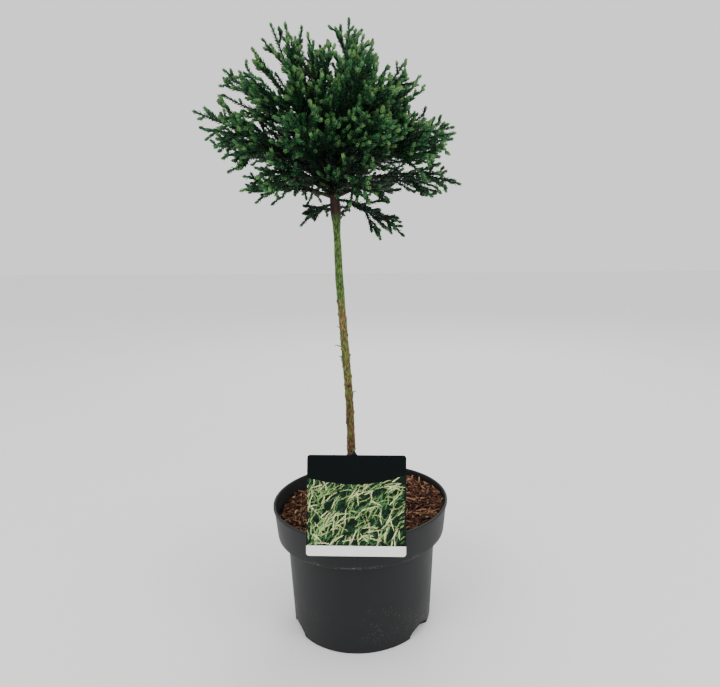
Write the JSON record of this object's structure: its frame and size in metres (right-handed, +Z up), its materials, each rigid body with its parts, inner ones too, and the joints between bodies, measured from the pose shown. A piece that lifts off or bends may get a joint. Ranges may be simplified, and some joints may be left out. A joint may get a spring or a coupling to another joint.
{
  "type": "potted cryptomeria standard tree",
  "caption": "Young cryptomeria grown as a small standard tree: slim straight stem, round open crown of cord-like evergreen shoots, in a dark nursery pot with a picture label.",
  "frame": {"origin": "middle of the flat underside of the pot, on the surface it stands on", "axes": "+Z up along the stem; the picture label on the rim faces -Y; +X is to the right when looking at the label"},
  "size_m": [0.3183, 0.2714, 0.7636],
  "materials": {
    "pot_plastic": "moulded polypropylene, anthracite, slightly dusty",
    "mulch": "coarse red-brown bark and fibre",
    "bark": "smooth green young bark, brown and rough lower down",
    "foliage": "dark green awl-shaped needles with yellow-green shoot tips",
    "label_card": "printed plastic card: dark band, pale green foliage pattern, white strip",
    "label_stake": "black moulded plastic"
  },
  "bodies": {
    "root": {"bough_lower_1": "bark", "bough_lower_2": "bark", "bough_lower_3": "bark", "bough_lower_4": "bark", "bough_lower_5": "bark", "bough_lower_6": "bark", "bough_middle_1": "bark", "bough_middle_2": "bark", "bough_middle_3": "bark", "bough_middle_4": "bark", "bough_middle_5": "bark", "bough_middle_6": "bark", "bough_middle_7": "bark", "bough_middle_8": "bark", "bough_upper_1": "bark", "bough_upper_2": "bark", "bough_upper_3": "bark", "bough_upper_4": "bark", "bough_upper_5": "bark", "bough_upper_6": "bark", "foliage_crest_1": "foliage", "foliage_crest_2": "foliage", "foliage_crest_3": "foliage", "foliage_crest_4": "foliage", "foliage_lower_1": "foliage", "foliage_lower_2": "foliage", "foliage_lower_3": "foliage", "foliage_lower_4": "foliage", "foliage_lower_5": "foliage", "foliage_lower_6": "foliage", "foliage_middle_1": "foliage", "foliage_middle_2": "foliage", "foliage_middle_3": "foliage", "foliage_middle_4": "foliage", "foliage_middle_5": "foliage", "foliage_middle_6": "foliage", "foliage_middle_7": "foliage", "foliage_middle_8": "foliage", "foliage_skirt_1": "foliage", "foliage_skirt_2": "foliage", "foliage_skirt_3": "foliage", "foliage_upper_1": "foliage", "foliage_upper_2": "foliage", "foliage_upper_3": "foliage", "foliage_upper_4": "foliage", "foliage_upper_5": "foliage", "foliage_upper_6": "foliage", "label_card": "label_card", "label_stake": "label_stake", "mulch": "mulch", "pot": "pot_plastic", "trunk": "bark"}
  },
  "joints": []
}
